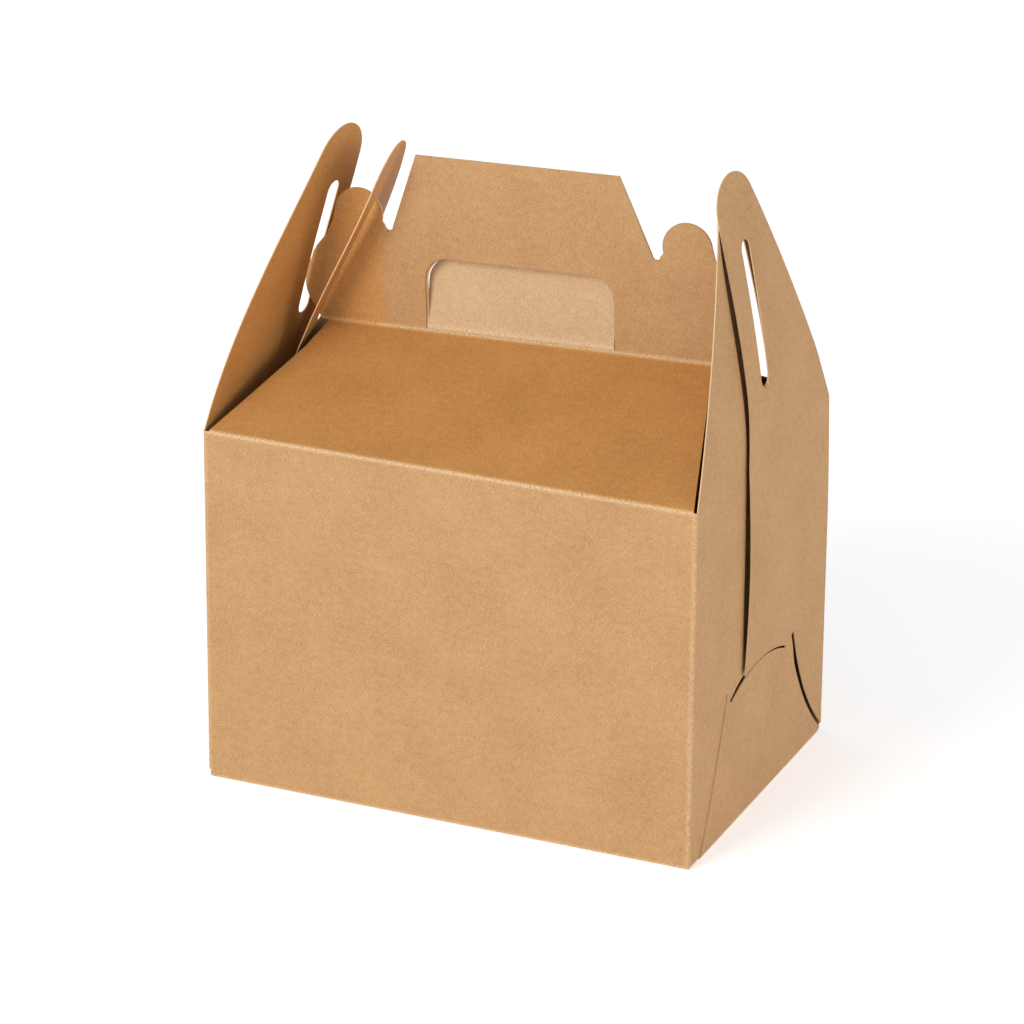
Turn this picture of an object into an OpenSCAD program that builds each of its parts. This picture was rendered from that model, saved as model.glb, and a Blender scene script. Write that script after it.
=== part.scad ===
// Gable carry box folded from one sheet of kraft board.
// The front faces -Y, the end with the open tongues faces +X, and the box rests on z = 0.

/* [Box] */
// Length of the bottom panel, end fold to end fold
box_w = 225; // [180:1:280]
// Depth over the front and back walls
box_d = 156; // [140:1:180]
// Height of the folds at the top of the walls
wall_h = 161.4; // [120:0.1:220]
// Thickness of the board
board = 0.5; // [0.4:0.05:0.6]
// Clearance between two layers of board that lie on each other
layer_gap = 0.3; // [0.3:0.05:0.4]
// Radius of the swollen bead along a slanted fold
fold_r = 0.3; // [0.3:0.01:0.32]

/* [Lid panels] */
// Rise of the lid from the wall tops to the crease under the handle
crease_rise = 31.5; // [28:0.5:36]
// Room between the side of a lid panel and the end of the box, at the wall top
lid_foot_in = 2.1; // [2.1:0.1:3]
// Same, where the side turns near the crease
lid_shoulder_in = 19.3; // [19.3:0.1:21]
// Distance from the crease to that turn
lid_shoulder_back = 20; // [18:0.5:22]
// Room between the end of the crease and the end of the box
lid_end_in = 22.3; // [22:0.1:24]

/* [Handle] */
// Height of the handle above the crease
handle_h = 78.5; // [74:0.5:86]
// Half of the handle's top edge
handle_top_half = 46.8; // [44:0.2:50]
// Distance from the handle's middle to each notch
notch_at = 62.6; // [61.8:0.1:63]
// Height of the notch's centre above the crease
notch_up = 46; // [45:0.1:47]
// Radius of the notch's round bottom
notch_r = 2.2; // [2:0.1:2.4]
// Distance from the handle's middle to each ear's head
head_at = 77.7; // [77.5:0.1:78]
// Height of the head's centre above the crease
head_up = 50; // [49:0.2:51]
// Radius of the ear's head
head_r = 11.2; // [10.8:0.1:11.3]
// Distance from the handle's middle to the ear's lower bulge
bulge_at = 84; // [83:0.2:85]
// Height of the bulge's centre above the crease
bulge_up = 17; // [16:0.2:18]
// Radius of the bulge
bulge_r = 17.5; // [16.5:0.1:18]
// Distance from the handle's middle to the foot of each ear
ear_foot = 94; // [92:0.2:94.5]

/* [Hand hole] */
// Half of the hole's length
hole_half = 43.8; // [38:0.2:46]
// Height of the hole's top edge above the crease
hole_up = 33; // [30:0.5:38]
// Radius of its upper corners
hole_r = 10.5; // [8:0.5:12]
// Width of the cut between a hand flap and its hole
kerf = 0.4; // [0.3:0.05:0.6]
// Height of the front hand flap's fold above the crease
front_fold_up = 2.3; // [2.2:0.1:2.8]
// Height of the back hand flap's fold above the crease
back_fold_up = 1.1; // [1.1:0.05:1.2]
// How far the front hand flap is pushed back
front_flap_tilt = 10.5; // [9:0.5:14]
// How far the back hand flap is pushed back
back_flap_tilt = 22; // [20:0.5:26]

/* [Tongues] */
// Reach of an end flap's tongue from the upright fold to its free edge
tongue_reach = 95; // [90:0.5:100]
// Height of a tongue above the wall top
tongue_h = 121; // [114:0.5:128]
// Radius of the tongue's round top
tongue_r = 17.7; // [15:0.1:19]
// Room between the upright fold and the foot of the tongue
tongue_foot = 1; // [0.8:0.1:2]
// Width of the slot that an ear hooks into
slot_w = 8.5; // [8:0.1:10]
// Height of the slot's lower end above the wall top
slot_low = 28.5; // [26:0.5:29]
// Height of the slot's upper end above the wall top
slot_top = 95; // [94.5:0.1:96]
// Room between a tongue's root and the top edge that it sits on
root_gap = 0.1; // [0.05:0.01:0.2]
// Inward lean of the outer tongue at the right
right_outer_lean = 8.3; // [6:0.1:9]
// Inward lean of the inner tongue at the right
right_inner_lean = 6.8; // [6:0.1:8]
// Inward swing of the inner end flap at the right
right_inner_swing = 3.5; // [3:0.1:4]
// Inward lean of the outer tongue at the left
left_outer_lean = 13; // [11:0.1:14]
// Inward lean of the hooked tongue at the left
hooked_lean = 25.2; // [25:0.1:25.5]
// Inward swing of the inner end flap at the left
hooked_swing = 3.6; // [3.4:0.1:3.7]

/* [End flaps] */
// Distance from the upright fold to the notch in an end flap's lower edge
lock_at = 39.6; // [38:0.2:41]
// Height of that notch
lock_up = 64.3; // [63:0.1:66]
// Height at which the lower edge leaves the upright fold
lock_rise = 3.5; // [3:0.1:5]
// Bow of the curved cut from the fold to the notch
lock_bow = 5.2; // [4:0.1:6]
// Height of the inner end flap's lower edge
inner_foot = 1; // [0.9:0.1:1.2]
// Distance from the notch to the end of the arched lower edge
heel_run = 9.4; // [9:0.1:10]
// Height of the arch's ends
heel_up = 60.2; // [59.5:0.1:60.5]
// Rise of the arched lower edge
arch_bow = 3.7; // [3:0.1:4.5]
// Extra reach of the free edge at the arch
free_flare = 3; // [2:0.5:4]

/* [Bottom end flaps] */
// Distance from the box corner to the start of the flap's plain side
plain_side_in = 11.5; // [10:0.5:14]
// Distance from the box corner to the tip of the plain side
plain_tip_in = 39.9; // [39:0.1:41]
// Height of the plain side's tip
plain_tip_up = 64.5; // [64:0.1:65]
// Distance from the box corner to the start of the top arch
arch_in = 46.5; // [46:0.1:48]
// Rise of the flap's arched top, which lies behind the outer end flap
top_bow = 8; // [6:0.5:9]
// Gap between the flap's curved side and the outer end flap's curved cut
side_gap = 1.7; // [1.2:0.1:2.2]
// Length of the lower edge of the inner end flap that the bottom end flap covers
cover = 5; // [4:0.5:7]
// Height at which the tab bends outward
tab_bend = 52; // [51:0.2:53]
// Outward slant of the tab that hooks over the outer end flap
tab_out = 12; // [12:0.5:14]
// Overlap of the tab on the outer end flap
tab_lap = 1.2; // [0.8:0.1:1.6]

/* [Hidden] */

round_steps = 10;
half_w = box_w / 2;
half_d = box_d / 2;
crease_z = wall_h + crease_rise;

// Middle planes of the layers at the ends, from the outside inwards
outer_x = half_w + layer_gap + board / 2;
inner_x = half_w - board - layer_gap - board / 2;
wall_y = half_d - board / 2;

// Middle plane of each handle panel, and the lid panels that lead up to it
handle_y = (board + layer_gap) / 2;
lid_run = wall_y - handle_y;
lid_slope = atan(crease_rise / lid_run);
lid_length = sqrt(pow(lid_run, 2) + pow(crease_rise, 2));
lid_shoulder_s = lid_length - lid_shoulder_back / cos(lid_slope);

// The slot lies over the middle of the box's depth
slot_at = wall_y;
slot_r = slot_w / 2;
tongue_side = atan2(tongue_h - tongue_r, tongue_reach - tongue_r - tongue_foot)
              + asin(tongue_r / norm([tongue_h - tongue_r, tongue_reach - tongue_r - tongue_foot]));
root_r = board / 2;
root_up = root_r + root_gap;

// Flat outlines

function arc(centre, r, from, to, steps = round_steps) =
    [for (i = [0:steps]) centre + r * [cos(from + (to - from) * i / steps), sin(from + (to - from) * i / steps)]];

// Points from p to q along a shallow curve that bulges to the left by the bow
function bowed(p, q, bow, steps = round_steps) =
    let (side = [p.y - q.y, q.x - p.x] / norm(q - p))
    [for (i = [0:steps]) let (k = i / steps) p + (q - p) * k + side * 4 * bow * k * (1 - k)];

function flipped(points) = [for (i = [len(points) - 1:-1:0]) [-points[i].x, points[i].y]];

function handle_half() = concat(
    [[handle_top_half, handle_h]],
    arc([notch_at, notch_up], notch_r, 180, 360),
    arc([head_at, head_up], head_r, 195, -20),
    arc([bulge_at, bulge_up], bulge_r, 45, -45),
    [[ear_foot, 0]]);

function hole_half_outline(foot, inset) = concat(
    arc([hole_half - hole_r, hole_up - hole_r], hole_r - inset, 90, 0),
    [[hole_half - inset, foot]]);

function tongue_points() = concat(
    [[tongue_foot, 0]],
    arc([tongue_reach - tongue_r, tongue_h - tongue_r], tongue_r, 90 + tongue_side, 0),
    [[tongue_reach, 0]]);

// The curved cut in an outer end flap, from its upright fold up to the notch
lock_from = [0, lock_rise];
lock_to = [lock_at, lock_up];
lock_heel = [lock_at + heel_run, heel_up];

// Share of the cut's length at which it reaches a height
function cut_share(z) =
    let (m = 4 * lock_bow * lock_at / norm(lock_to - lock_from), b = lock_up - lock_rise - m)
    (sqrt(b * b + 4 * m * (z - lock_rise)) - b) / (2 * m);

function lock_cut(from = 0, to = 1) =
    let (side = [lock_up - lock_rise, -lock_at] / norm(lock_to - lock_from))
    [for (i = [0:round_steps]) let (k = from + (to - from) * i / round_steps)
        lock_from + (lock_to - lock_from) * k + side * 4 * lock_bow * k * (1 - k)];

function end_flap_points(cut) = concat(
    [[0, wall_h]],
    cut,
    bowed(lock_heel, [tongue_reach + free_flare, lock_up], arch_bow),
    [[tongue_reach, wall_h]]);

// The inner end flap's cut stays behind the plain side of the bottom end flap
function covered_cut() = concat(
    [[0, inner_foot]],
    bowed([plain_side_in + cover, inner_foot], lock_to + [2, -2], -8),
    [lock_to + [0.5, 0]]);

// The bottom end flap, measured along the depth from the corner beside its plain side
bend_side = box_d - side_gap - lock_cut(cut_share(tab_bend), 1)[0].x;
tab_heel = box_d - lock_heel.x;
function curved_side() =
    [for (p = lock_cut(cut_share(tab_bend), 0)) [box_d - side_gap - p.x, p.y]];
function bottom_flap_points() = concat(
    bowed([plain_side_in, 0], [plain_tip_in - 0.5, plain_tip_up - 2], -1.5),
    [[plain_tip_in, plain_tip_up]],
    bowed([arch_in, heel_up], [tab_heel - 2, heel_up], top_bow),
    [[tab_heel - 2, tab_bend]],
    curved_side(),
    [[box_d - side_gap - board, 0]]);

module sheet(points) {
    linear_extrude(height = board, center = true) polygon(points);
}

module bead(length, r = fold_r) {
    rotate([0, 90, 0]) cylinder(r = r, h = length, center = true, $fn = 32);
}

// Local X runs from the upright fold along the end, local Y is up and local Z points into the box
module from_back_fold(x) {
    translate([x, wall_y, 0]) rotate([0, 0, -90]) rotate([90, 0, 0]) children();
}

module from_front_fold(x) {
    mirror([0, 1, 0]) from_back_fold(x) children();
}

module at_left_end() {
    rotate([0, 0, 180]) children();
}

module tongue_sheet() {
    difference() {
        sheet(tongue_points());
        translate([slot_at, 0, 0]) linear_extrude(height = 3 * board, center = true) polygon(concat(
            arc([0, slot_top - slot_r], slot_r, 0, 180),
            arc([0, slot_low + slot_r], slot_r, 180, 360)));
    }
}

// A tongue that turns about its round root
module open_tongue(lean) {
    translate([0, wall_h + root_up, 0]) rotate([lean, 0, 0]) {
        tongue_sheet();
        translate([(tongue_foot + tongue_reach) / 2, 0, 0]) bead(tongue_reach - tongue_foot, root_r);
    }
}

module outer_end_flap() {
    sheet(end_flap_points(lock_cut()));
}

module inner_end_flap() {
    sheet(end_flap_points(covered_cut()));
}

module hooked_tongue() {
    translate([0, wall_h, 0]) rotate([hooked_lean, 0, 0]) {
        tongue_sheet();
        translate([(tongue_foot + tongue_reach) / 2, 0, 0]) bead(tongue_reach - tongue_foot);
    }
}

// The tab bends outward under the outer end flap's heel and hooks over its notch
module bottom_end_flap() {
    translate([half_w - board / 2, -half_d, 0]) rotate([90, 0, 90]) {
        sheet(bottom_flap_points());
        translate([0, tab_bend, 0]) rotate([tab_out, 0, 0]) sheet([
            [tab_heel - 1, 0],
            [tab_heel, heel_up - tab_bend],
            [box_d - lock_at, lock_up - tab_bend + tab_lap],
            [bend_side, 0]]);
        translate([(tab_heel - 1 + bend_side) / 2, tab_bend, 0]) bead(bend_side - tab_heel + 1);
    }
}

// The three flaps that close one end, but for the tongues
module closed_end(swing) {
    from_back_fold(outer_x) outer_end_flap();
    from_front_fold(inner_x) rotate([0, -swing, 0]) inner_end_flap();
    bottom_end_flap();
}

module lid_panel() {
    translate([0, -wall_y, wall_h]) rotate([lid_slope, 0, 0]) {
        sheet([
            [-half_w + lid_foot_in, 0],
            [-half_w + lid_shoulder_in, lid_shoulder_s],
            [-half_w + lid_end_in, lid_length],
            [half_w - lid_end_in, lid_length],
            [half_w - lid_shoulder_in, lid_shoulder_s],
            [half_w - lid_foot_in, 0]]);
        bead(2 * (half_w - lid_foot_in));
        translate([0, lid_length, 0]) bead(2 * (half_w - lid_end_in));
    }
}

module handle_panel(fold_up) {
    hole_foot = fold_up - root_up;
    translate([0, -handle_y, crease_z]) rotate([90, 0, 0]) difference() {
        sheet(concat(handle_half(), flipped(handle_half())));
        linear_extrude(height = 3 * board, center = true)
            polygon(concat(hole_half_outline(hole_foot, 0), flipped(hole_half_outline(hole_foot, 0))));
    }
}

module carton() {
    color("burlywood") union() {
        translate([-half_w, -half_d, 0]) cube([box_w, box_d, board]);
        translate([-outer_x - board / 2, -half_d, 0]) cube([outer_x + inner_x + board, board, wall_h]);
        translate([-inner_x - board / 2, half_d - board, 0]) cube([outer_x + inner_x + board, board, wall_h]);
        closed_end(right_inner_swing);
        at_left_end() closed_end(hooked_swing);
        at_left_end() from_front_fold(inner_x) rotate([0, -hooked_swing, 0]) hooked_tongue();
        lid_panel();
        mirror([0, 1, 0]) lid_panel();
        handle_panel(front_fold_up);
        mirror([0, 1, 0]) handle_panel(back_fold_up);
    }
}

module right_outer_tongue() {
    color("tan") from_back_fold(outer_x) open_tongue(right_outer_lean);
}

module right_inner_tongue() {
    color("peru") from_front_fold(inner_x) rotate([0, -right_inner_swing, 0]) open_tongue(right_inner_lean);
}

module left_outer_tongue() {
    color("sandybrown") at_left_end() from_back_fold(outer_x) open_tongue(left_outer_lean);
}

// A hand flap stands in its hole, tilted back about the fold along its lower edge
module hand_flap_at(y, fold_up, tilt) {
    flap_half = concat(
        arc([hole_half - hole_r, hole_up - hole_r - fold_up], hole_r - kerf, 90, 0),
        [[hole_half - kerf, 0]]);
    translate([0, y, crease_z + fold_up]) rotate([90 - tilt, 0, 0]) {
        sheet(concat(flap_half, flipped(flap_half)));
        bead(2 * (hole_half - kerf), root_r);
    }
}

module front_hand_flap() {
    color("wheat") hand_flap_at(-handle_y, front_fold_up, front_flap_tilt);
}

module back_hand_flap() {
    color("tan") hand_flap_at(handle_y, back_fold_up, back_flap_tilt);
}

carton();
right_outer_tongue();
right_inner_tongue();
left_outer_tongue();
front_hand_flap();
back_hand_flap();
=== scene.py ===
from math import asin, atan2, cos, degrees, hypot, pi, radians, sin, sqrt, tan

import bpy
from mathutils import Matrix, Vector


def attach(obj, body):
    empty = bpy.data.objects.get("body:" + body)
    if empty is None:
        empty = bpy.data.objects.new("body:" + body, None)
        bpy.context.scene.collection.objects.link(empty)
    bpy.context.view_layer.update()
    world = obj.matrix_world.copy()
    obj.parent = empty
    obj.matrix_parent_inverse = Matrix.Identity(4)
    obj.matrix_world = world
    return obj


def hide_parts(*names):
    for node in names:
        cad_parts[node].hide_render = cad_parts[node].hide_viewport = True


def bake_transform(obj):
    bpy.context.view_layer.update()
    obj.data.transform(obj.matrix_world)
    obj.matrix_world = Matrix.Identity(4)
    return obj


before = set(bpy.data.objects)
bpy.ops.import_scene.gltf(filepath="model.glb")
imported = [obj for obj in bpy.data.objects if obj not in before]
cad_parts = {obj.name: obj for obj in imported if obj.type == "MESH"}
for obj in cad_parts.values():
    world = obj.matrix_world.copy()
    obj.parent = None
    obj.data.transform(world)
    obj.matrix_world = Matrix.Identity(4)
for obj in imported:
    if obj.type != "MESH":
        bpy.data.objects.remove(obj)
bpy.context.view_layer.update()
mm = 0.001

# sizes that the whole box shares
box = {
    "halfWidth": 112.5 * mm,      # to the end folds
    "halfDepth": 78 * mm,         # to the outside of the front and back walls
    "wallHeight": 161.4 * mm,
    "board": 0.5 * mm,
    "layerGap": 0.06 * mm,        # the layers at the ends lie close together
    "foldRadius": 0.9 * mm,       # of the board's middle
    "foldWear": 1.3 * mm,         # how far the frayed skin reaches beside a fold
    "cornerWear": 0.5,            # the upright corners are less frayed
    "cell": 7 * mm,               # of the mesh on flat board
    "smoothAngle": radians(35),
    "grainScale": 10,             # paper pattern to a metre of board
    "pull": {-1: 0, 1: 3 * mm},   # the back wall leans in at its top
    "pullFrom": 0.65,             # share of the wall height where that starts
    "pullCurve": 1.5,
}
halfBoard = box["board"] / 2
wallY = box["halfDepth"] - halfBoard
outerX = box["halfWidth"] + 0.3 * mm + halfBoard
bottomX = outerX - box["board"] - box["layerGap"]
innerX = bottomX - box["board"] - box["layerGap"]
wallTop = box["wallHeight"]


# outlines and sheets

def arcPoints(cx, cy, r, start, end, steps=10):
    turns = [radians(start + (end - start) * i / steps) for i in range(steps + 1)]
    return [(cx + r * cos(a), cy + r * sin(a)) for a in turns]


def bowedPoints(p, q, bow, steps=12):  # a shallow curve that bulges to the left of p to q
    length = hypot(q[0] - p[0], q[1] - p[1])
    side = ((p[1] - q[1]) / length, (q[0] - p[0]) / length)
    points = []
    for i in range(steps + 1):
        k = i / steps
        push = 4 * bow * k * (1 - k)
        points.append(tuple(a + (b - a) * k + out * push for a, b, out in zip(p, q, side)))
    return points


def mirrored(points):
    return [(-x, y) for x, y in reversed(points)]


def scaled(points):
    return [(x * mm, y * mm) for x, y in points]


def ramp(value, start, end):  # 0 up to start, 1 from end on, either way round
    return max(0, min(1, (value - start) / (end - start)))


def pickOnly(obj):
    bpy.ops.object.select_all(action="DESELECT")
    obj.select_set(True)
    bpy.context.view_layer.objects.active = obj


def evenLines(low, high, step):
    count = max(1, round((high - low) / step))
    return [low + (high - low) * i / count for i in range(1, count)]


def foldLines(at, reach):  # close cuts across a fold, and a few beside it
    inner = [at + reach * k / 3 for k in range(-3, 4)]
    outer = [at + side * (reach + box["foldWear"] * k / 2) for side in (-1, 1) for k in (1, 2)]
    return inner + outer


def flatSheet(name, loops, acrossLines, upLines):
    outline = bpy.data.curves.new(name, "CURVE")
    outline.dimensions = "2D"
    outline.fill_mode = "FRONT"
    for points in loops:
        spline = outline.splines.new("POLY")
        spline.points.add(len(points) - 1)
        for place, (x, y) in zip(spline.points, points):
            place.co = (x, y, 0, 1)
        spline.use_cyclic_u = True
    obj = bpy.data.objects.new(name, outline)
    bpy.context.scene.collection.objects.link(obj)
    pickOnly(obj)
    bpy.ops.object.convert(target="MESH")
    obj = bpy.context.view_layer.objects.active
    bpy.ops.object.mode_set(mode="EDIT")
    bpy.ops.mesh.select_all(action="SELECT")
    bpy.ops.mesh.remove_doubles(threshold=0.01 * mm)
    for normal, lines in (((1, 0, 0), acrossLines), ((0, 1, 0), upLines)):
        for at in sorted(set(lines)):
            bpy.ops.mesh.select_all(action="SELECT")
            bpy.ops.mesh.bisect(plane_co=[n * at for n in normal], plane_no=normal)
            bpy.ops.mesh.mark_sharp()
    bpy.ops.mesh.select_all(action="SELECT")
    bpy.ops.mesh.dissolve_limited(angle_limit=radians(0.05), delimit={"SHARP"})
    bpy.ops.mesh.select_all(action="SELECT")
    bpy.ops.mesh.mark_sharp(clear=True)
    bpy.ops.object.mode_set(mode="OBJECT")
    return obj


def foldWeight(distance, reach):
    return ramp(distance, reach + box["foldWear"], reach)


def pulledIn(side, z, fade):  # how far the lid draws a wall's top inwards, fading above it
    if z > wallTop:
        return box["pull"][side] * ramp(z, wallTop + fade, wallTop)
    return box["pull"][side] * ramp(z, box["pullFrom"] * wallTop, wallTop) ** box["pullCurve"]


# place(x, y) gives a point of the flat sheet in space, wear(x, y) how frayed it is there,
# and the third function how much painted shade (the deeper tone of dimly lit faces) it has there
def bendSheet(obj, place, wear, paintedShadePart=lambda x, y: 0, board="board"):
    mesh = obj.data
    flat = [(v.co.x, v.co.y) for v in mesh.vertices]
    grain = mesh.uv_layers.new(name="grain")
    for loop in mesh.loops:
        x, y = flat[loop.vertex_index]
        grain.data[loop.index].uv = (x * box["grainScale"], y * box["grainScale"])
    for key, value in (("frayed", wear), ("lid", paintedShadePart)):
        mask = mesh.attributes.new(key, "FLOAT", "POINT")
        mask.data.foreach_set("value", [value(x, y) for x, y in flat])
    for vertex, (x, y) in zip(mesh.vertices, flat):
        vertex.co = place(x, y)
    pickOnly(obj)
    obj.data.materials.append(materials[board])
    obj.data.materials.append(materials["cutEdge"])
    thick = obj.modifiers.new("thickness", "SOLIDIFY")
    thick.thickness = box["board"]
    thick.offset = 0
    thick.use_even_offset = False
    thick.material_offset_rim = 1
    bpy.ops.object.modifier_apply(modifier=thick.name)
    bpy.ops.object.mode_set(mode="EDIT")
    bpy.ops.mesh.select_all(action="SELECT")
    bpy.ops.mesh.normals_make_consistent(inside=False)
    bpy.ops.object.mode_set(mode="OBJECT")
    bpy.ops.object.shade_smooth_by_angle(angle=box["smoothAngle"])


insideFacing = 0.3  # how squarely a face has to look inwards


def paintShadeInside(obj, way):  # painted shade: above the walls, the faces that look inwards along x get the lid's deeper tone, for the shade inside the tongues
    tone = obj.data.attributes["lid"]
    for face in obj.data.polygons:
        if face.normal.x * way > insideFacing and face.material_index == 0:
            for i in face.vertices:
                tone.data[i].value = 1 if obj.data.vertices[i].co.z > wallTop else 0


# materials

def addNode(tree, kind, place, **values):
    made = tree.nodes.new(kind)
    made.location = place
    for key, value in values.items():
        setattr(made, key, value)
    return made


def feed(tree, socket, value):  # links another socket, or sets a number or colour
    if isinstance(value, bpy.types.NodeSocket):
        tree.links.new(value, socket)
    else:
        socket.default_value = value


def mathNode(tree, operation, place, *values):
    made = addNode(tree, "ShaderNodeMath", place, operation=operation)
    for socket, value in zip(made.inputs, values):
        feed(tree, socket, value)
    return made.outputs[0]


def rangeNode(tree, place, value, low, high, toLow=0, toHigh=1):
    made = addNode(tree, "ShaderNodeMapRange", place)
    keys = ("Value", "From Min", "From Max", "To Min", "To Max")
    for key, given in zip(keys, (value, low, high, toLow, toHigh)):
        feed(tree, made.inputs[key], given)
    return made.outputs[0]


def mixNode(tree, place, factor, a, b, blend="MIX"):
    made = addNode(tree, "ShaderNodeMix", place, data_type="RGBA", blend_type=blend)
    for key, given in (("Factor", factor), ("A", a), ("B", b)):
        feed(tree, made.inputs[key], given)
    return made.outputs["Result"]


fibreLook = {
    # scale, stretch and detail of each noise
    "layers": {"cloud": (3, 1, 3), "mottle": (26, 1.5, 4), "fibre": (95, 3.2, 5), "speck": (210, 1.6, 2)},
    "turn": radians(4),
    "roughness": 0.62,
    "cloudShare": 0.45,               # the rest of the mottling is finer
    "specks": (0.66, 0.78),           # where a speck starts to show, and shows fully
}


def fibreGroup():  # mottling, fibres, specks and the fibres' height, from flat sheet coordinates
    group = bpy.data.node_groups.new("paperFibre", "ShaderNodeTree")
    for name in ("Grain Scale", "Fibre Depth"):
        socket = group.interface.new_socket(name=name, in_out="INPUT", socket_type="NodeSocketFloat")
        socket.default_value = 1
    group.interface.new_socket(name="Vector", in_out="INPUT", socket_type="NodeSocketVector")
    for name in ("Mottle", "Fibre", "Speck", "Height"):
        group.interface.new_socket(name=name, in_out="OUTPUT", socket_type="NodeSocketFloat")
    source = addNode(group, "NodeGroupInput", (-900, 0))
    result = addNode(group, "NodeGroupOutput", (700, 0))
    link = group.links.new
    size = addNode(group, "ShaderNodeVectorMath", (-700, 0), operation="SCALE")
    link(source.outputs["Vector"], size.inputs[0])
    link(source.outputs["Grain Scale"], size.inputs["Scale"])
    noises = {}
    for row, (name, (scale, stretch, detail)) in enumerate(fibreLook["layers"].items()):
        y = 300 - 200 * row
        squeeze = addNode(group, "ShaderNodeMapping", (-500, y))
        squeeze.inputs["Scale"].default_value = (1, stretch, 1)
        squeeze.inputs["Rotation"].default_value = (0, 0, fibreLook["turn"])
        noise = addNode(group, "ShaderNodeTexNoise", (-300, y))
        for key, value in (("Scale", scale), ("Detail", detail), ("Roughness", fibreLook["roughness"])):
            noise.inputs[key].default_value = value
        link(size.outputs[0], squeeze.inputs["Vector"])
        link(squeeze.outputs[0], noise.inputs["Vector"])
        noises[name] = noise.outputs["Fac"]
    share = fibreLook["cloudShare"]
    fine = mathNode(group, "MULTIPLY", (-50, 60), noises["mottle"], 1 - share)
    link(mathNode(group, "MULTIPLY_ADD", (-50, 200), noises["cloud"], share, fine), result.inputs["Mottle"])
    link(noises["fibre"], result.inputs["Fibre"])
    link(rangeNode(group, (-50, -300), noises["speck"], *fibreLook["specks"]), result.inputs["Speck"])
    height = mathNode(group, "MULTIPLY", (150, -100), noises["fibre"], source.outputs["Fibre Depth"])
    link(height, result.inputs["Height"])
    return group


boardLook = {
    "deep": (0.272, 0.128, 0.043),
    "pale": (0.534, 0.312, 0.139),
    "fibre": 2.4,                     # contrast of the fibres, and what keeps the mean tone
    "fibreBase": -1.15,
    "mottle": 1.1,
    "speck": (0.20, 0.09, 0.03),
    "speckShare": 0.35,
    "frayed": (0.74, 0.54, 0.33),
    "ragged": (0.38, 0.66),           # the fibres between which a worn fold turns frayed
    "lid": (1.14, 0.89, 0.46),        # painted shade: a deeper brown that multiplies the tone of the lid panels, of the tongues' insides and of the left ear, for the dim light they get
    "paintedShadePatches": (0.35, 0.65, 0.55, 1),  # two fibre values, and how much of the painted shade shows at each
    "roughness": 0.72,
    "specular": 0.35,
    "bump": 0.25,
    "bumpDepth": 0.2 * mm,
}
# the hand flaps are paler: partly a paler board face, partly a painted highlight for the sheen that their
# backward tilt catches
flapLook = {**boardLook, "deep": (0.37, 0.21, 0.097), "pale": (0.62, 0.42, 0.24)}
edgeLook = {"deep": boardLook["pale"], "pale": (0.74, 0.54, 0.33), "roughness": 0.9, "grainScale": 2}


def boardMaterial(name, look, fibres):
    material = bpy.data.materials.new(name)
    material.use_nodes = True
    tree = material.node_tree
    link = tree.links.new
    shader = tree.nodes["Principled BSDF"]
    grain = addNode(tree, "ShaderNodeUVMap", (-1300, 0), uv_map="grain")
    paper = addNode(tree, "ShaderNodeGroup", (-1100, 0), node_tree=fibres)
    link(grain.outputs[0], paper.inputs["Vector"])
    fibre = paper.outputs["Fibre"]
    streaks = mathNode(tree, "MULTIPLY_ADD", (-900, 50), fibre, look["fibre"], look["fibreBase"])
    blend = mathNode(tree, "MULTIPLY_ADD", (-900, 200), paper.outputs["Mottle"], look["mottle"], streaks)
    tone = mixNode(tree, (-700, 200), blend, (*look["deep"], 1), (*look["pale"], 1))
    faint = mathNode(tree, "MULTIPLY", (-700, 0), paper.outputs["Speck"], look["speckShare"])
    tone = mixNode(tree, (-500, 200), faint, tone, (*look["speck"], 1))
    wear = addNode(tree, "ShaderNodeAttribute", (-900, -250), attribute_name="frayed")
    ragged = rangeNode(tree, (-900, -450), fibre, *look["ragged"])
    torn = mathNode(tree, "MULTIPLY", (-700, -250), wear.outputs["Fac"], ragged)
    tone = mixNode(tree, (-300, 200), torn, tone, (*look["frayed"], 1))
    # painted shade: where the lid attribute says, a deeper brown multiplies the tone in fibre patches
    paintedShadePart = addNode(tree, "ShaderNodeAttribute", (-300, 450), attribute_name="lid")
    uneven = rangeNode(tree, (-500, 600), fibre, *look["paintedShadePatches"])
    patchy = mathNode(tree, "MULTIPLY", (-300, 600), uneven, paintedShadePart.outputs["Fac"])
    tone = mixNode(tree, (-100, 300), patchy, tone, (*look["lid"], 1), blend="MULTIPLY")
    link(tone, shader.inputs["Base Color"])
    shader.inputs["Roughness"].default_value = look["roughness"]
    shader.inputs["Specular IOR Level"].default_value = look["specular"]
    bump = addNode(tree, "ShaderNodeBump", (-300, -300))
    bump.inputs["Strength"].default_value = look["bump"]
    bump.inputs["Distance"].default_value = look["bumpDepth"]
    link(paper.outputs["Height"], bump.inputs["Height"])
    link(bump.outputs[0], shader.inputs["Normal"])
    return material


def edgeMaterial(fibres):
    material = bpy.data.materials.new("cutEdge")
    material.use_nodes = True
    tree = material.node_tree
    link = tree.links.new
    shader = tree.nodes["Principled BSDF"]
    grain = addNode(tree, "ShaderNodeUVMap", (-900, 0), uv_map="grain")
    paper = addNode(tree, "ShaderNodeGroup", (-700, 0), node_tree=fibres)
    paper.inputs["Grain Scale"].default_value = edgeLook["grainScale"]
    link(grain.outputs[0], paper.inputs["Vector"])
    tone = mixNode(tree, (-400, 0), paper.outputs["Fibre"], (*edgeLook["deep"], 1), (*edgeLook["pale"], 1))
    link(tone, shader.inputs["Base Color"])
    shader.inputs["Roughness"].default_value = edgeLook["roughness"]
    return material


fibres = fibreGroup()
materials = {
    "board": boardMaterial("kraftBoard", boardLook, fibres),
    "cutEdge": edgeMaterial(fibres),
    "handFlap": boardMaterial("kraftFlap", flapLook, fibres),
}
print("materials made")


# the long strip: half of the bottom, a wall, a lid panel and a handle panel

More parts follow.
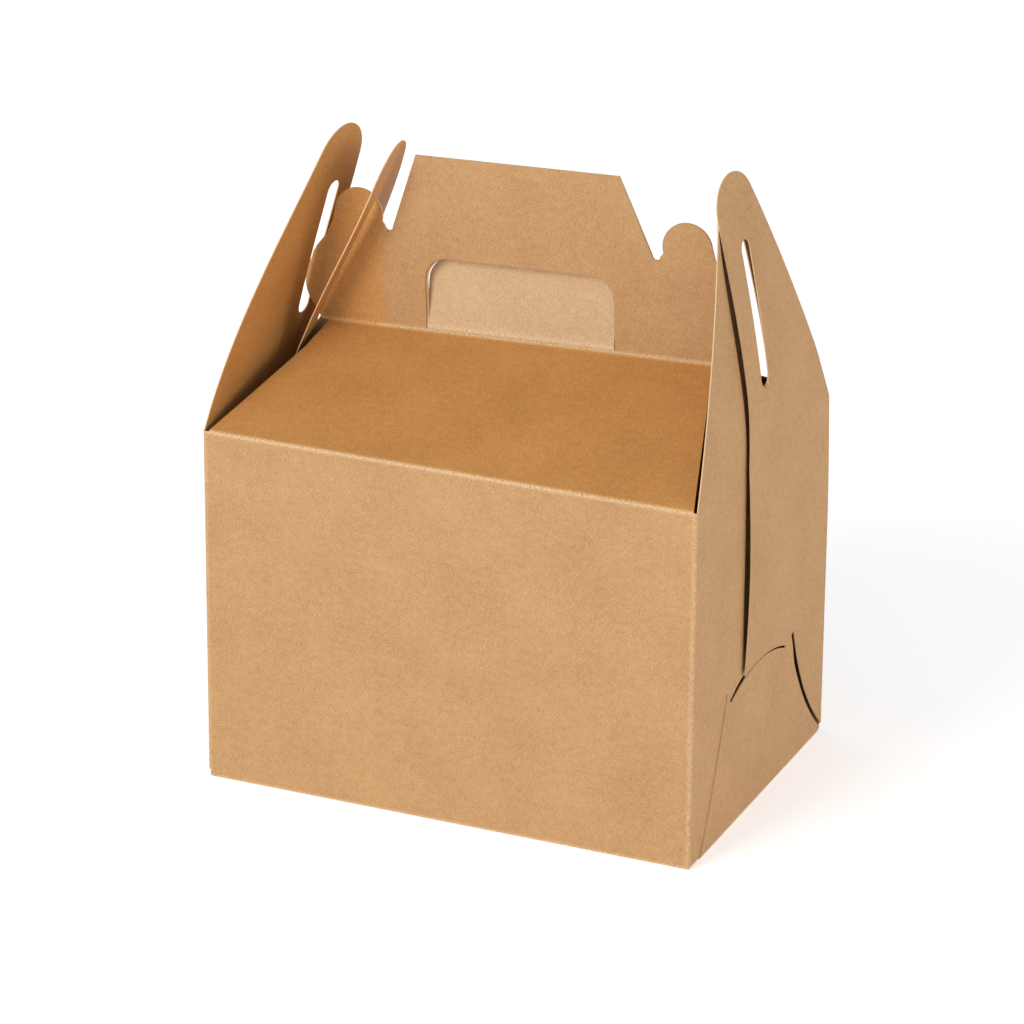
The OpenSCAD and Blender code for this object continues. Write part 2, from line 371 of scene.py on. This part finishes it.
lid = {
    "rise": 31.5 * mm,
    "tilt": radians(2.1),         # the left end of the handle sits lower
    "footHalf": 110.6 * mm,       # half widths at the wall top, at the shoulder and at the crease
    "shoulderHalf": 93.2 * mm,
    "endHalf": 90.4 * mm,
    "shoulderBack": 20 * mm,      # from the crease down
    "gridHalf": 110 * mm,         # how far the mesh's even lines reach
    "wornFolds": (0.3, 0.4, 0.6),  # at the bottom, the wall top and the crease
    "handleGap": 0.15 * mm,       # between the two handle panels
    "handle": 78.5,               # height in mm
    "ears": {"left": (60.5, 74.5), "right": (62.8, 76.9)},  # where a notch and an ear stand, in mm
    "earShade": 0.9,              # share of the painted shade on the left ear, for the shadow between the left tongues
    "earShadeFrom": (-60 * mm, -66 * mm),
    "holeShift": {-1: -0.5, 1: 0.7},  # in mm, in front and behind
}
handleY = halfBoard + lid["handleGap"] / 2
lidRun = wallY - handleY
lidLength = hypot(lidRun, lid["rise"])
creaseZ = wallTop + lid["rise"]
bottomFoldAt = wallY
wallFoldAt = bottomFoldAt + wallTop - halfBoard
creaseAt = wallFoldAt + lidLength
handTop = creaseAt + lid["handle"] * mm


def handleHalf(notchAt, earAt):  # the ears hook into the tongues
    ear = arcPoints(earAt, 50, 11.2, 195, 8, 20)
    waist = [(earAt + 12.4, 46), (earAt + 15.6, 39.2), (92.8, 36.1), (95.1, 33.2), (96.8, 30.6)]
    return scaled([(46.8, lid["handle"])] + arcPoints(notchAt, 45.4, 1.9, 180, 360, 12) + ear + waist
                  + arcPoints(84, 17, 17.3, 36, -45, 14) + [(94.2, 0)])


def holeOutline(foot, inset, shift):  # inset by a hand flap's kerf, all in mm
    corner = arcPoints(33.3, 23, 10.5 - inset, 90, 0, 10)
    half = corner + [(43.8 - inset, foot)]
    return scaled([(x + shift, y) for x, y in half + mirrored(half)])


def filletPoint(corner, before, after, radius, offset):
    turn = before.angle_signed(after) * -1
    reach = radius * tan(abs(turn) / 2)
    if abs(offset) >= reach:
        return corner + (after if offset > 0 else before) * offset
    side = 1 if turn > 0 else -1
    normal = Vector((-before.y, before.x)) * side
    centre = corner - before * reach + normal * radius
    angle = abs(turn) * (offset + reach) / (2 * reach) * side
    return centre - Matrix.Rotation(angle, 2) @ normal * radius


def stripPlace(side):
    corners = [Vector((0, halfBoard)), Vector((wallY, halfBoard)), Vector((wallY, wallTop))]
    stops = [0, bottomFoldAt, wallFoldAt, creaseAt, creaseAt + 1]

    def place(x, p):
        crease = Vector((handleY, creaseZ + x * sin(lid["tilt"])))
        knots = corners + [crease, crease + Vector((0, 1))]
        part = max(i for i in range(4) if p >= stops[i] or i == 0)
        spans = [b - a for a, b in zip(knots, knots[1:])]
        ways = [span.normalized() for span in spans]
        share = (p - stops[part]) / (stops[part + 1] - stops[part])
        along = share * spans[part].length
        ahead = along - spans[part].length
        if part > 0 and along <= -ahead:
            depth, z = filletPoint(knots[part], ways[part - 1], ways[part], box["foldRadius"], along)
        elif part < 3:
            depth, z = filletPoint(knots[part + 1], ways[part], ways[part + 1], box["foldRadius"], ahead)
        else:
            depth, z = knots[part] + ways[part] * along
        shift = -sin(lid["tilt"]) * max(0, p - creaseAt)
        if bottomFoldAt < p < creaseAt:
            depth -= pulledIn(side, z, lid["rise"])
        return (x + shift, side * depth, z)

    return place


def stripSheet(name, side, holeFoot):
    left, right = (-outerX, innerX) if side < 0 else (-innerX, outerX)
    r = box["foldRadius"]
    left, right = left + r, right - r
    base = box["halfWidth"] - r
    shoulderAt = creaseAt - lid["shoulderBack"]
    ears = {key: [(x, y + creaseAt) for x, y in handleHalf(*places)] for key, places in lid["ears"].items()}
    panel = [(lid["footHalf"], wallFoldAt), (lid["shoulderHalf"], shoulderAt), (lid["endHalf"], creaseAt)]
    rightSide = [(base, 0), (base, bottomFoldAt), (right, bottomFoldAt), (right, wallFoldAt)] + panel
    leftSide = mirrored(panel) + [(left, wallFoldAt), (left, bottomFoldAt), (-base, bottomFoldAt), (-base, 0)]
    outline = rightSide + ears["right"][::-1] + [(-x, y) for x, y in ears["left"]] + leftSide
    hole = [(x, y + creaseAt) for x, y in holeOutline(holeFoot, 0, lid["holeShift"][side])]
    across = evenLines(-lid["gridHalf"], lid["gridHalf"], box["cell"])
    across += [right - box["foldWear"] * k / 2 for k in (1, 2)]
    across += [left + box["foldWear"] * k / 2 for k in (1, 2)]
    up = evenLines(0, handTop, box["cell"])
    folds = (bottomFoldAt, wallFoldAt, creaseAt)
    for at in folds:
        up += foldLines(at, r)
    obj = flatSheet(name, [outline, hole], across, up)

    def wear(x, p):
        nearFold = max(foldWeight(abs(p - at), r * worn) for at, worn in zip(folds, lid["wornFolds"]))
        nearSide = 0
        if bottomFoldAt < p < wallFoldAt:
            nearSide = box["cornerWear"] * foldWeight(min(abs(x - left), abs(x - right)), 0)
        return max(nearFold, nearSide)

    # painted shade: the lid panels get it in full for their dim light from above, the left ear in part for the
    # tongues' shadow
    def paintedShadePart(x, p):
        shaded = min(lid["earShade"], ramp(x, *lid["earShadeFrom"])) if p > creaseAt else 0
        return max(shaded, min(1, (p - wallFoldAt) / r, (creaseAt - p) / r))

    bendSheet(obj, stripPlace(side), wear, paintedShadePart)
    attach(obj, "box")
    return obj


frontSheet = stripSheet("frontSheet", -1, 1.3)
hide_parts("carton")
stripSheet("backSheet", 1, 0.6)
print("walls, lid and handle folded")


# end flaps with their tongues

tongue = {                        # in mm
    "foot": 1, "round": 17.7,
    "bend": 121,                  # height that the curls are measured over
    "reach": 95,                  # width that the twists are measured over
    "gridTo": 98,                 # how far the mesh's even lines reach
    "tuck": (67, 77),             # across the flap, where a tuck starts and is full
    "dip": (58.5, 61.5, 68, 76),  # where a dip starts, is full, eases and ends
    "dipCuts": (58.5, 59.5, 60.5, 61.5, 64.5, 68, 70.5, 73, 76),
    "dipFade": (0.9, 0.5),        # shares of the height where it is gone and still full
    "bowAbove": 0.9,              # share of the free edge's bow that lies above the lock
    "pullFade": 25,               # above the wall top, where a wall's lean inwards ends
    "root": 0.35,                 # where the joints turn, above the wall top
}
lock = {                          # in mm
    "at": 39.6, "up": 64.3, "rise": 3.5, "bow": 5.2, "heelRun": 9.4, "heelUp": 60.9,
    "arch": 3.5, "archUp": 65.3, "flare": 99,
    "innerHeel": [(43.5, 60.1), (45.2, 61), (49.9, 63.2), (55.8, 65.1), (60, 66)],
}
arcLength = box["foldRadius"] * pi / 2
foldFrom = box["foldRadius"] - arcLength  # the flat sheet's coordinate where a corner's arc starts
# in mm: push is how far a tongue curls inwards, in powers of its height, and swing how much further at
# its free edge, bulge is how the free edge below stands in or out, slot is its middle, width, foot and
# top, tuck is how far the hidden part returns to its neighbour, and dip how deep the inner flap dives
# behind the outer one
endFlaps = {
    "rightOuterFlap": {
        "x": outerX, "end": 1, "side": 1, "inner": False, "reach": 96.2, "height": 122.2,
        "slot": (76.1, 8.4, 27.8, 92.6), "bulge": -1.3,
        "push": (12.1, 9.9, -10.0), "swing": (-0.3, -7.4, 16.9),
        "body": "right_outer", "node": "right_outer_tongue",
    },
    "rightInnerFlap": {
        "x": innerX, "end": 1, "side": -1, "inner": True, "reach": 95, "height": 117,
        "slot": (80.8, 9.4, 27.8, 93), "bulge": 0.3, "tuck": (5.2, -2.4), "dip": 2.4,
        "push": (11.5, 16.8, -24.7), "swing": (1.3, -14.4, 36.6),
        "body": "right_inner", "node": "right_inner_tongue",
    },
    "leftOuterFlap": {
        "x": outerX, "end": -1, "side": -1, "inner": False, "reach": 95, "height": 121.2,
        "slot": (79.4, 8.5, 29, 93.6), "bulge": 0.0,
        "push": (5.05, 31.5, -15.2), "swing": (3.6, 11.7, -3.5),
        "body": "left_outer", "node": "left_outer_tongue",
    },
    "leftInnerFlap": {
        "x": innerX, "end": -1, "side": 1, "inner": True, "reach": 95, "height": 122.6,
        "slot": (77.75, 8.5, 28.5, 94), "bulge": 0.3,
        "push": (19.3, 52.5, -25.5), "swing": (8.4, 11.7, -10.6),
        "body": "box", "node": None,
    },
}


def tongueOutline(reach, tip):
    t = tongue
    run, climb = reach - t["round"] - t["foot"], tip - t["round"]
    side = degrees(atan2(climb, run) + asin(t["round"] / hypot(run, climb)))
    return arcPoints(reach - t["round"], climb, t["round"], 90 + side, 0, 18)


def flapOutline(inner, reach, tip):
    base = wallTop / mm
    top = [(x, y + base) for x, y in tongueOutline(reach, tip)]
    heel = (lock["at"] + lock["heelRun"], lock["heelUp"])
    if inner:
        cut = [(foldFrom / mm, 1.0), (0, 1.0)] + bowedPoints((20, 1.0), (43, 58.8), -8)
        cut += lock["innerHeel"]
        arch = [(61, lock["archUp"] + 4)]
        arch += bowedPoints((64, lock["archUp"] + 4.5), (lock["flare"], lock["archUp"] + 2.5), 1)
    else:
        cut = [(foldFrom / mm, lock["rise"])]
        cut += bowedPoints((0, lock["rise"]), (lock["at"], lock["up"]), -lock["bow"])
        arch = bowedPoints(heel, (lock["flare"], lock["archUp"] + 1.1), lock["arch"])
    up = [(reach, base)] + top[::-1] + [(tongue["foot"], base)]
    return scaled(cut + arch + up + [(foldFrom / mm, base)])


def slotOutline(middle, width, low, top):
    r, base = width / 2, wallTop / mm
    return scaled(arcPoints(middle, base + top - r, r, 0, 180, 10)
                  + arcPoints(middle, base + low + r, r, 180, 360, 10))


def flapPlace(x, end, side, push, swing, bulge, tuck, dip):  # side is 1 where the flap folds from the back wall
    r = box["foldRadius"]
    dipFrom, dipFull, dipEase, dipTo = tongue["dip"]

    def dive(u):
        return dip * ramp(u / mm, dipFrom, dipFull) * ramp(u / mm, dipTo, dipEase)

    def inwards(u, s):  # at u across the flap and s up the tongue
        k = s / (tongue["bend"] * mm)
        curl = push[0] * k + push[1] * k ** 2 + push[2] * k ** 3
        turn = (swing[0] + swing[1] * k + swing[2] * k ** 2) * u / (tongue["reach"] * mm)
        dived = dive(u) * ramp(k, *tongue["dipFade"])
        tucked = (tuck[0] * k + tuck[1] * k ** 2) * ramp(u / mm, *tongue["tuck"])
        return (curl + turn + dived - tucked) * mm

    def height(u, s, steps=16):  # the curl keeps the board's length
        climbed, half = 0, 0.5 * mm
        for i in range(steps):
            at = s * (i + 0.5) / steps
            slope = (inwards(u, at + half) - inwards(u, at - half)) / (2 * half)
            climbed += sqrt(max(0.1, 1 - slope * slope)) * s / steps
        return climbed

    def place(u, z):
        bend = max(0, (r - u) / r)
        run, deep = (r - r * sin(bend), r - r * cos(bend)) if bend else (u, 0)
        flat = max(0, u)
        if z > wallTop:
            deep += inwards(flat, z - wallTop)
            z = wallTop + height(flat, z - wallTop)
        else:
            above, below = ramp(z, lock["up"] * mm, wallTop), ramp(z, 0, lock["up"] * mm)
            bow = bulge * sin(pi * (tongue["bowAbove"] * above + (1 - tongue["bowAbove"]) * below))
            deep += dive(flat) * min(1, 2 * above) * mm + flat / tongue["reach"] * (swing[0] * above + bow)
        along = wallY - run - pulledIn(side, z, tongue["pullFade"] * mm)
        return (end * (x - deep), side * along, z)

    return place


def endFlap(name, x, end, side, inner, push, swing, bulge, reach, height, slot, body, node, tuck=(0, 0), dip=0):
    up = evenLines(0, wallTop + tongue["bend"] * mm, box["cell"]) + foldLines(wallTop, 1 * mm)
    across = [foldFrom + arcLength * k / 5 for k in range(1, 6)]
    across += evenLines(0, tongue["gridTo"] * mm, box["cell"])
    across += [box["foldRadius"] + box["foldWear"] * k / 2 for k in (1, 2)]
    if dip:
        across += [at * mm for at in tongue["dipCuts"]]
    obj = flatSheet(name, [flapOutline(inner, reach, height), slotOutline(*slot)], across, up)

    def wear(u, z):
        return box["cornerWear"] * foldWeight(max(0, u), 0.5 * mm) if z < wallTop else 0

    bendSheet(obj, flapPlace(x, end, side, push, swing, bulge, tuck, dip), wear)
    paintShadeInside(obj, -end)
    if body == "box":
        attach(obj, "box")
    else:
        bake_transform(obj)
        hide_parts(node)


for name, values in endFlaps.items():
    endFlap(name, **values)
print("end flaps and tongues folded")


# the flaps that fold up from the bottom at each end

bottomFlap = {                    # in mm
    "plainIn": 11.5, "tipIn": 39.6, "tipUp": 64.7, "archIn": 44.9, "archUp": 59.6, "topBow": 6.1,
    "sideGap": 2.8, "sideLean": 1.2,
    "tabFrom": 102.5, "tabRise": (48, 58),  # the tab leaves the flap's plane there
    "tabEase": 4, "tabOut": 0.6, "tabSplay": 0.02,
    "grid": (10, 98, 120, 154),   # the mesh's even lines, closer in the stretch by the tab
    "gridUp": 66, "tabCell": 1.5,
}


def bottomFlapOutline():
    b, depth = bottomFlap, 2 * box["halfDepth"] / mm
    heel = depth - lock["at"] - lock["heelRun"]
    side = bowedPoints((0, lock["rise"]), (lock["at"], lock["up"]), -lock["bow"], 16)
    side = [(depth - b["sideGap"] - b["sideLean"] * (z / lock["up"]) ** 3 - u, z) for u, z in reversed(side)]
    low = (foldFrom + halfBoard) / mm
    outline = [(b["plainIn"], low), (b["plainIn"], 0)]
    outline += bowedPoints((b["plainIn"], 0), (b["tipIn"] - 0.5, b["tipUp"] - 2), -1.5)[1:]
    outline += [(b["tipIn"], b["tipUp"]), (b["archIn"] - 2.9, b["archUp"] + 1)]
    outline += [(b["archIn"] - 1.4, b["archUp"] - 0.2)]
    outline += bowedPoints((b["archIn"], b["archUp"]), (heel - 1.3, b["archUp"] + 0.4), b["topBow"])
    outline += [(heel + 0.6, lock["heelUp"] + 1.1), (side[0][0], lock["up"] + 1.7)]
    outline += side + [(depth - b["sideGap"] - 0.5, 0), (depth - b["sideGap"] - 0.5, low)]
    return scaled(outline)


def endBottomFlap(name, end):
    r = box["foldRadius"]
    up = [foldFrom + halfBoard + arcLength * k / 5 for k in range(1, 6)]
    up += evenLines(0, bottomFlap["gridUp"] * mm, box["cell"] / 2)
    up += [r + box["foldWear"] * k / 2 for k in (1, 2)]
    first, closeFrom, closeTo, last = (at * mm for at in bottomFlap["grid"])
    across = evenLines(first, closeFrom, box["cell"]) + evenLines(closeFrom, closeTo, bottomFlap["tabCell"] * mm)
    across += evenLines(closeTo, last, box["cell"])
    obj = flatSheet(name, [bottomFlapOutline()], across, up)

    def place(y, q):
        bend = max(0, (r + halfBoard - q) / r)
        climb, deep = (halfBoard + r - r * sin(bend), r - r * cos(bend)) if bend else (q, 0)
        past = max(0, y / mm - bottomFlap["tabFrom"])
        push = bottomFlap["tabOut"] + bottomFlap["tabSplay"] * past
        out = ramp(q / mm, *bottomFlap["tabRise"]) * min(1, past / bottomFlap["tabEase"]) * push * mm
        return (end * (bottomX - deep + out), end * (y - box["halfDepth"]), climb)

    bendSheet(obj, place, lambda y, q: foldWeight(max(0, q), 0.5 * mm))
    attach(obj, "box")


endBottomFlap("rightBottomFlap", 1)
endBottomFlap("leftBottomFlap", -1)
print("bottom end flaps folded")


# hand flaps, still joined along the lower edge of the hand hole

handFlaps = {
    "frontHandFlap": {
        "side": -1, "foot": 1.3, "fold": 2.3, "tilt": radians(10.5),
        "body": "front_flap", "node": "front_hand_flap",
    },
    "backHandFlap": {
        "side": 1, "foot": 0.6, "fold": 1.1, "tilt": radians(22),
        "body": "back_flap", "node": "back_hand_flap",
    },
}
handCut = {"kerf": 0.45, "halfWidth": 42, "height": 33, "foldStep": 0.4, "foldRun": 1.2}  # in mm


def handFlap(name, side, foot, fold, tilt, body, node):
    outline = holeOutline(foot, handCut["kerf"], lid["holeShift"][side])
    half = handCut["halfWidth"] * mm
    up = [(fold + k * handCut["foldStep"]) * mm for k in range(-2, 4)]
    up += evenLines(0, handCut["height"] * mm, box["cell"])
    obj = flatSheet(name, [outline], evenLines(-half, half, box["cell"]), up)

    def place(x, b):
        free = max(0, b - fold * mm)
        lean = tilt * min(1, free / (handCut["foldRun"] * mm))
        y, z = free * sin(lean), b - free + free * cos(lean)
        slide = sin(lid["tilt"])
        return (x - slide * z, side * handleY + y, creaseZ + x * slide + z)

    bendSheet(obj, place, lambda x, b: foldWeight(abs(b - fold * mm), 0.2 * mm), board="handFlap")
    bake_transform(obj)
    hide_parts(node)


for name, values in handFlaps.items():
    handFlap(name, **values)
print("hand flaps folded")


# floor, light and camera

studio = {
    "floorSize": 8,
    "floorTone": 0.9,             # a lit white table
    "floorRoughness": 0.8,
    "floorGlow": 0.38,
    "skyTone": (0.97, 0.985, 1.0),
    "horizon": 0.95,              # sky strength there and overhead
    "zenith": 0.40,
    "frontLight": {"place": (-1.1, -2.4, 1.5), "aim": (0, 0, 0.12), "size": 1.5, "power": 52},
    "sideLight": {"place": (2.5, -0.4, 0.9), "aim": (0, 0, 0.12), "size": 1.2, "power": 18},
}


def floorMaterial():
    material = bpy.data.materials.new("paleFloor")
    material.use_nodes = True
    shader = material.node_tree.nodes["Principled BSDF"]
    tone = studio["floorTone"]
    shader.inputs["Base Color"].default_value = (tone, tone, tone, 1)
    shader.inputs["Roughness"].default_value = studio["floorRoughness"]
    shader.inputs["Emission Color"].default_value = (1, 1, 1, 1)
    shader.inputs["Emission Strength"].default_value = studio["floorGlow"]
    return material


bpy.ops.mesh.primitive_plane_add(size=studio["floorSize"], location=(0, 0, -0.2 * mm))
floor = bpy.context.view_layer.objects.active
floor.name = "floor"
floor.data.materials.append(floorMaterial())


def softLight(name, place, aim, size, power):
    bpy.ops.object.light_add(type="AREA", location=place)
    light = bpy.context.view_layer.objects.active
    light.name = name
    light.data.size = size
    light.data.energy = power
    light.rotation_euler = (Vector(aim) - Vector(place)).to_track_quat("-Z", "Y").to_euler()


softLight("frontLight", **studio["frontLight"])
softLight("sideLight", **studio["sideLight"])
world = bpy.data.worlds.new("studio")
bpy.context.scene.world = world
world.use_nodes = True
sky = world.node_tree
coordinates = addNode(sky, "ShaderNodeTexCoord", (-700, 0))
upward = addNode(sky, "ShaderNodeSeparateXYZ", (-500, 0))
sky.links.new(coordinates.outputs["Generated"], upward.inputs[0])
strength = rangeNode(sky, (-300, 0), upward.outputs["Z"], 0, 1, studio["horizon"], studio["zenith"])
background = sky.nodes["Background"]
sky.links.new(strength, background.inputs["Strength"])
background.inputs["Color"].default_value = (*studio["skyTone"], 1)

view = {
    "lens": 175.2, "sensor": 36, "clipEnd": 20,
    "azimuth": radians(23.52), "elevation": radians(22.14), "roll": radians(0.434),
    "right": -28.55 * mm, "down": 132.79 * mm, "ahead": 2131.1 * mm,  # where the foot of the front wall lies
}


def addCamera():
    az, el = view["azimuth"], view["elevation"]
    right = Vector((cos(az), sin(az), 0))
    ahead = Vector((-sin(az) * cos(el), cos(az) * cos(el), -sin(el)))
    up = right.cross(ahead)
    turn = Matrix.Rotation(-view["roll"], 3, ahead)
    right, up = turn @ right, turn @ up
    foot = Vector((0, -box["halfDepth"], 0))
    place = foot - right * view["right"] + up * view["down"] - ahead * view["ahead"]
    bpy.ops.object.camera_add()
    camera = bpy.context.view_layer.objects.active
    camera.matrix_world = Matrix((right, up, -ahead)).transposed().to_4x4()
    camera.location = place
    camera.data.lens = view["lens"]
    camera.data.sensor_width = view["sensor"]
    camera.data.clip_end = view["clipEnd"]
    bpy.context.scene.camera = camera


addCamera()
bpy.context.scene.view_settings.view_transform = "Standard"
print("floor, lights and camera placed")
